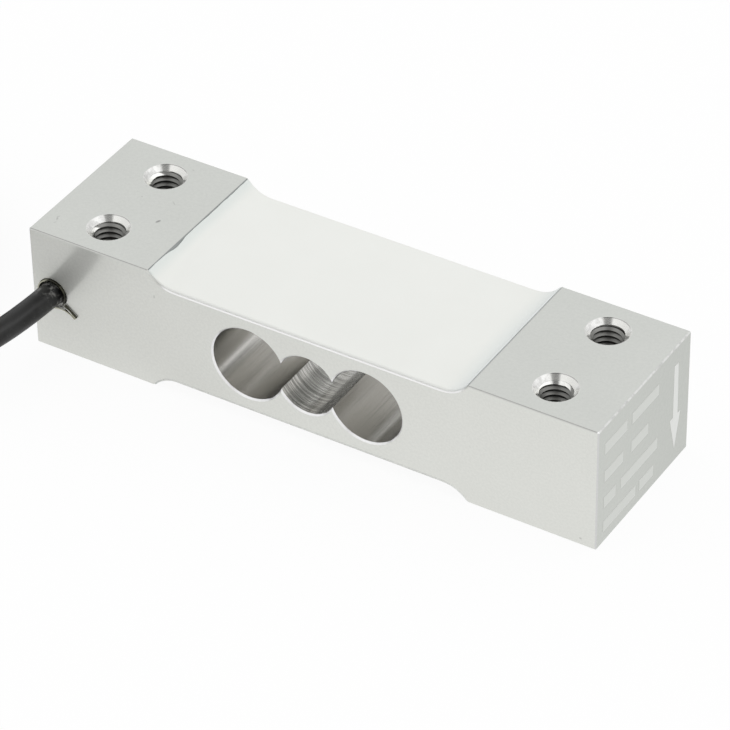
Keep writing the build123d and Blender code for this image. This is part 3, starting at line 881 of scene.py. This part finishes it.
etched_shape(
    "load_arrow",
    [((13.6, 28.0), (15.5, 28.0), (15.9, 13.4), (17.2, 13.4), (14.8, 4.0), (12.3, 13.4), (13.7, 13.4))],
    plain("etched_face", (0.78, 0.79, 0.77), 0.5, 1.0, 0.06, 1500.0),
)
etched_shape(
    "end_face_bars",
    [
        bar(-18.2, -8.2, 26.5), bar(-5.9, 6.4, 26.5),
        bar(-18.2, -9.7, 18.7), bar(-6.0, 1.8, 18.7),
        bar(-18.2, -12.8, 11.4), bar(-10.5, 6.4, 11.4),
        bar(-18.2, -3.4, 4.6), bar(-1.6, 4.9, 4.6),
    ],
    plain("faint_etched_face", (0.66, 0.675, 0.645), 0.4, 1.0, 0.05, 1500.0),
)


# White floor and studio light

def white_floor():
    """Paper that shows white to the camera and in the metal, and keeps the shadow."""
    material, tree, place = new_material("white_floor")
    path = node(tree, "ShaderNodeLightPath").outputs
    shown = calc(tree, "MAXIMUM", path["Is Camera Ray"], path["Is Glossy Ray"])
    mirrored = fade(tree, axes(tree, place)[0], -0.12, 0.07, 0.93, 1.0)
    strength = blend(tree, path["Is Camera Ray"], mirrored, 1.0)
    paper = node(tree, "ShaderNodeBsdfDiffuse", {"Color": grey(0.9)})
    glow = node(tree, "ShaderNodeEmission", {"Color": grey(1.0), "Strength": strength})
    both = {0: times(tree, shown, 0.93), 1: paper.outputs[0], 2: glow.outputs[0]}
    surface(tree, node(tree, "ShaderNodeMixShader", both))
    return material


floor_half = 6.0
floor_corners = [(x * floor_half, y * floor_half, 0) for x, y in ((-1, -1), (1, -1), (1, 1), (-1, 1))]
floor_data = bpy.data.meshes.new("floor")
floor_data.from_pydata(floor_corners, [], [(0, 1, 2, 3)])
floor_data.materials.append(white_floor())
floor = bpy.data.objects.new("floor", floor_data)
bpy.context.scene.collection.objects.link(floor)

# The tent is brighter overhead and to one side, with a dark gap above the camera
world = bpy.data.worlds.new("studio")
bpy.context.scene.world = world
world.use_nodes = True
sky = world.node_tree
sky.nodes.clear()
direction = node(sky, "ShaderNodeTexCoord").outputs["Generated"]
toward_gap = toward(sky, direction, Vector((0.325, -0.518, 0.791)).normalized())
toward_side = toward(sky, direction, Vector((0.72, 0.41, 0.56)).normalized())
gap = fade(sky, toward_gap, math.cos(math.radians(22)), math.cos(math.radians(9)))
overhead = fade(sky, axes(sky, direction)[2], 0.45, 0.95, 0.92, 1.15)
overhead = times(sky, overhead, fade(sky, toward_side, 0.72, 0.95, 1.0, 1.25))
tent = blend(sky, gap, overhead, 0.14)
tent_light = node(sky, "ShaderNodeBackground", {"Color": grey(1.0), "Strength": tent})
seen = node(sky, "ShaderNodeBackground", {"Color": grey(1.0), "Strength": 1.0})
sky_path = node(sky, "ShaderNodeLightPath").outputs["Is Camera Ray"]
sky_parts = {0: sky_path, 1: tent_light.outputs[0], 2: seen.outputs[0]}
sky_mix = node(sky, "ShaderNodeMixShader", sky_parts)
node(sky, "ShaderNodeOutputWorld", {0: sky_mix.outputs[0]})

key_light = bpy.data.lights.new("key", "AREA")
key_light.shape = "RECTANGLE"
key_light.size = key_light.size_y = 1.0
key_light.energy = 1.0
key = bpy.data.objects.new("key", key_light)
bpy.context.scene.collection.objects.link(key)
key_place = Vector((0.2, -0.3, 2.2))
key.matrix_world = Matrix.Translation(key_place) @ (-key_place).to_track_quat("-Z", "Y").to_matrix().to_4x4()
key.visible_camera = False

scene = bpy.context.scene
scene.view_settings.view_transform = "Standard"
